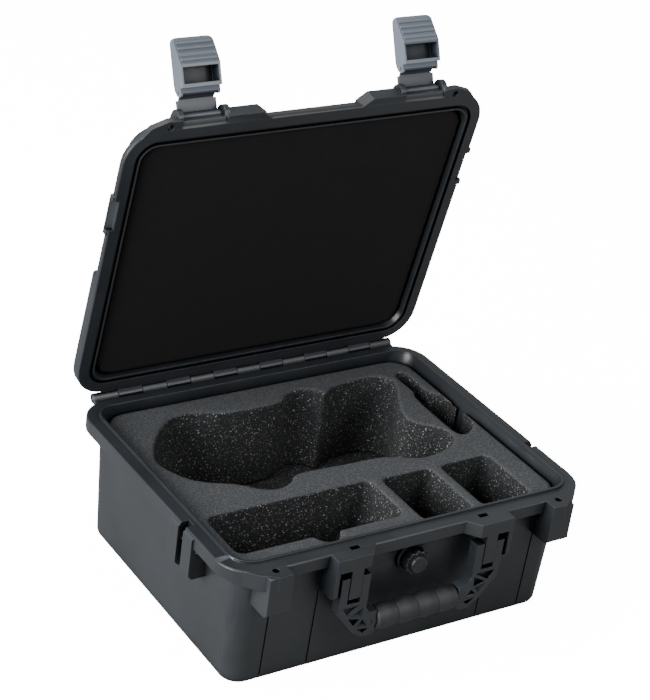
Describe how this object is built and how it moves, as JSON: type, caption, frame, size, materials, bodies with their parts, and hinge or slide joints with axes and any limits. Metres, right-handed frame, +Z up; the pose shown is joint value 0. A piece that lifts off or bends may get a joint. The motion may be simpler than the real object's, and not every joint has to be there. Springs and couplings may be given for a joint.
{
  "type": "drone carrying case",
  "caption": "Hard carrying case for a small folding drone: rod-hinged lid, draw latches, folding handle, pressure valve and a foam insert with shaped pockets.",
  "frame": {"origin": "centre of the base's standing face, under the middle of the closed case", "axes": "+X to the right seen from the front, +Y to the back where the hinge is, +Z up"},
  "size_m": [0.303, 0.2749, 0.3899],
  "materials": {
    "shell_plastic": "fine moulded texture",
    "latch_plastic": "satin moulded",
    "foam_charcoal": "open-cell foam, water-jet cut pockets",
    "foam_black": "fine flat foam sheet",
    "grip_rubber": "matte overmoulded rubber",
    "seal_rubber": "smooth matte",
    "pin_steel": "drawn bright"
  },
  "bodies": {
    "base": {"base_shell": "shell_plastic", "base_foam": "foam_charcoal", "base_foam_pad": "foam_charcoal", "strap_pin_left": "pin_steel", "strap_pin_right": "pin_steel", "hinge_rod": "pin_steel", "handle_pin_left": "pin_steel", "handle_pin_right": "pin_steel", "valve_body": "shell_plastic", "valve_knob_seal": "seal_rubber", "valve_wall_seal": "seal_rubber", "valve_nut": "shell_plastic"},
    "lid": {"lid_shell": "shell_plastic", "lid_seal": "seal_rubber", "lid_foam": "foam_black", "latch_link_pin_left": "pin_steel", "latch_link_pin_right": "pin_steel"},
    "latch_link_left": {"latch_link_left": "latch_plastic", "latch_lever_pin_left": "pin_steel"},
    "latch_link_right": {"latch_link_right": "latch_plastic", "latch_lever_pin_right": "pin_steel"},
    "latch_lever_left": {"latch_lever_left": "latch_plastic"},
    "latch_lever_right": {"latch_lever_right": "latch_plastic"},
    "handle": {"handle_frame": "shell_plastic", "handle_grip": "grip_rubber"},
    "valve_knob": {"valve_knob": "shell_plastic"}
  },
  "joints": [
    {"name": "lid_hinge", "type": "hinge", "parent": "base", "child": "lid", "pos_m": [0, 0.1222, 0.1022], "axis": [-1, 0, 0], "range_deg": [-77.7, 24]},
    {"name": "latch_link_left_swing", "type": "hinge", "parent": "lid", "child": "latch_link_left", "pos_m": [-0.0915, 0.07822, 0.34193], "axis": [-1, 0, 0], "range_deg": [-125, 20]},
    {"name": "latch_lever_left_swing", "type": "hinge", "parent": "latch_link_left", "child": "latch_lever_left", "pos_m": [-0.0915, 0.08451, 0.35697], "axis": [-1, 0, 0], "range_deg": [0, 72]},
    {"name": "latch_link_right_swing", "type": "hinge", "parent": "lid", "child": "latch_link_right", "pos_m": [0.0915, 0.07822, 0.34193], "axis": [-1, 0, 0], "range_deg": [-125, 20]},
    {"name": "latch_lever_right_swing", "type": "hinge", "parent": "latch_link_right", "child": "latch_lever_right", "pos_m": [0.0915, 0.08451, 0.35697], "axis": [-1, 0, 0], "range_deg": [0, 72]},
    {"name": "handle_fold", "type": "hinge", "parent": "base", "child": "handle", "pos_m": [0, -0.1226, 0.081], "axis": [-1, 0, 0], "range_deg": [-5, 100]},
    {"name": "valve_turn", "type": "hinge", "parent": "base", "child": "valve_knob", "pos_m": [0, -0.1091, 0.077], "axis": [0, -1, 0], "range_deg": [0, 360]}
  ]
}
